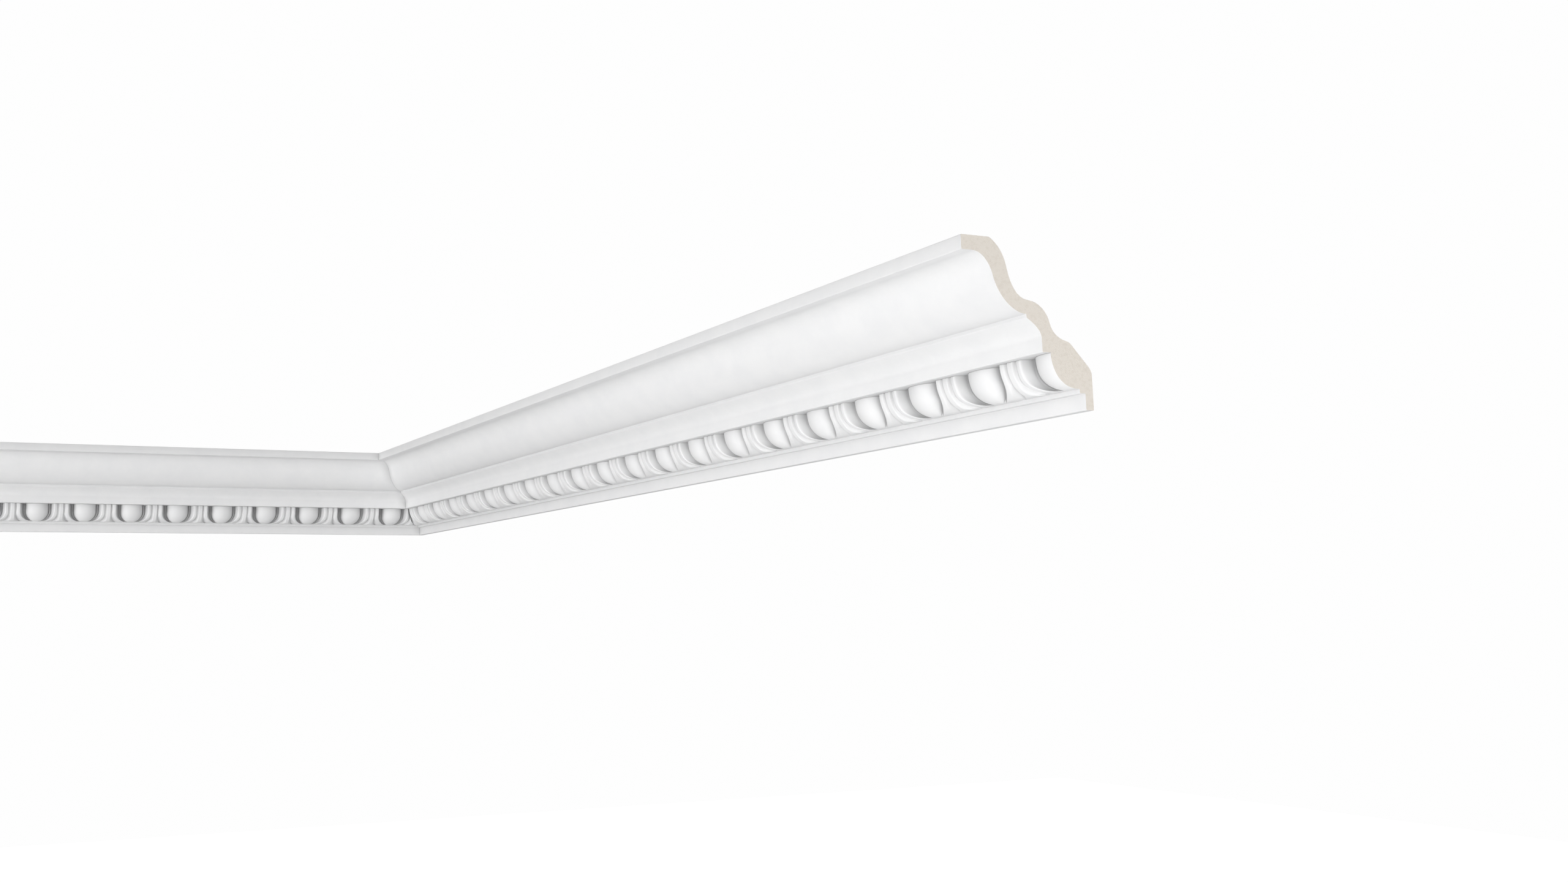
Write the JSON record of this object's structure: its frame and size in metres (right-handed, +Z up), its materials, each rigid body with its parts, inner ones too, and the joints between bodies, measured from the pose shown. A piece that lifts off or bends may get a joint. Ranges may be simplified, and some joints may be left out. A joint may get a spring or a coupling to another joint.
{
  "type": "ceiling coving",
  "caption": "Egg and dart ceiling coving for an inside corner: two white coated foam lengths, mitred together, with square cut ends and a hollow wavy back.",
  "frame": {"origin": "middle of the side length's wall seat, the flat strip that is glued to the side wall", "axes": "+Z up to the ceiling, +X into the side wall, +Y along the side length towards the inside corner; the back length runs from the corner towards -X"},
  "size_m": [0.76, 1.522, 0.13],
  "materials": {
    "white_coat": "smooth matt white factory coat over cream hard foam, which shows on the sawn ends"
  },
  "bodies": {
    "root": {"side_length": "white_coat", "back_length": "white_coat"}
  },
  "joints": []
}
